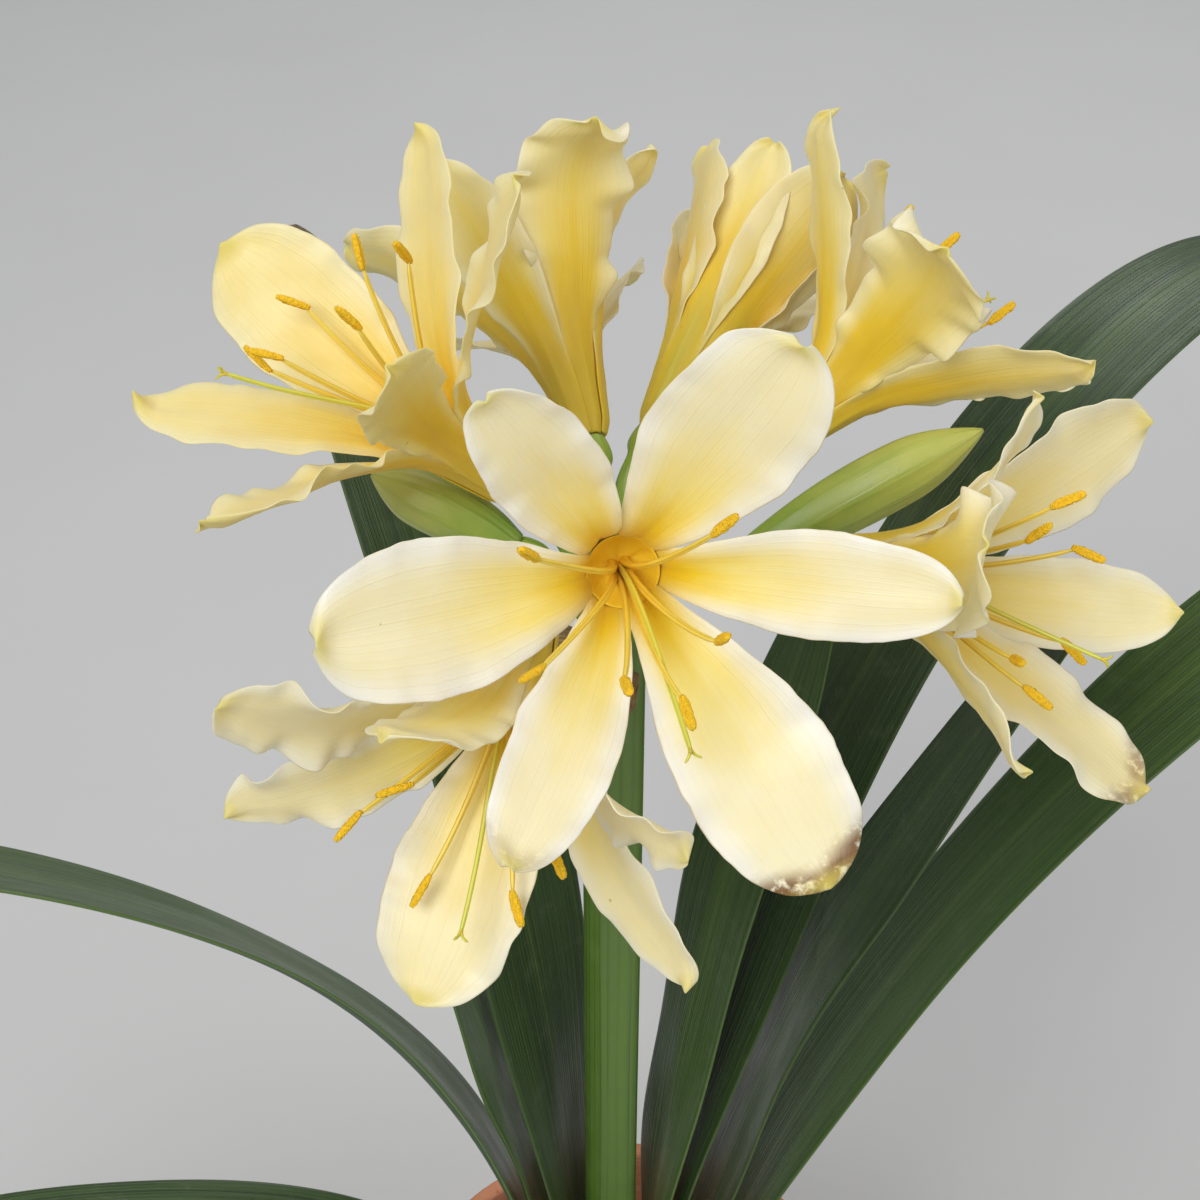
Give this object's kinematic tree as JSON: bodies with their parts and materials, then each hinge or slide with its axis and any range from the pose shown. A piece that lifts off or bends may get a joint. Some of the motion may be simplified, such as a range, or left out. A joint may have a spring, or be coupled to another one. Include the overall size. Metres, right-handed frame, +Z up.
{
  "type": "potted clivia",
  "caption": "Flowering clivia in a terracotta pot: an umbel of pale yellow trumpets and buds on one stalk, above a fan of arching strap leaves.",
  "frame": {"origin": "centre of the pot's flat base", "axes": "+Z up the pot and the flower stalk; the fan of leaves runs along X, and the open flower in front faces -Y"},
  "size_m": [0.6268, 0.3223, 0.5255],
  "materials": {
    "terracotta": "matte",
    "soil": "matte",
    "leaf": "satin",
    "stalk": "satin",
    "petal": "matte",
    "pollen": "matte",
    "bract": "matte"
  },
  "bodies": {
    "root": {"pot": "terracotta", "soil": "soil", "crown": "stalk", "flower_stalk": "stalk", "leaf_left_low": "leaf", "leaf_left_arching": "leaf", "leaf_left_short": "leaf", "leaf_left_tall": "leaf", "leaf_right_upright": "leaf", "leaf_right_tall": "leaf", "leaf_right_inner": "leaf", "leaf_right_long": "leaf", "leaf_right_low": "leaf", "bract_front": "bract", "bract_left": "bract", "bract_back": "bract", "perianth_front": "petal", "stamens_front": "pollen", "style_front": "stalk", "pedicel_front": "stalk", "perianth_lower_left": "petal", "stamens_lower_left": "pollen", "style_lower_left": "stalk", "pedicel_lower_left": "stalk", "perianth_right": "petal", "stamens_right": "pollen", "style_right": "stalk", "pedicel_right": "stalk", "perianth_upper_right": "petal", "stamens_upper_right": "pollen", "style_upper_right": "stalk", "pedicel_upper_right": "stalk", "perianth_back_right": "petal", "stamens_back_right": "pollen", "style_back_right": "stalk", "pedicel_back_right": "stalk", "perianth_back_left": "petal", "stamens_back_left": "pollen", "style_back_left": "stalk", "pedicel_back_left": "stalk", "perianth_left": "petal", "stamens_left": "pollen", "style_left": "stalk", "pedicel_left": "stalk", "bud_right": "stalk", "pedicel_bud_right": "stalk", "bud_left": "stalk", "pedicel_bud_left": "stalk"}
  },
  "joints": []
}
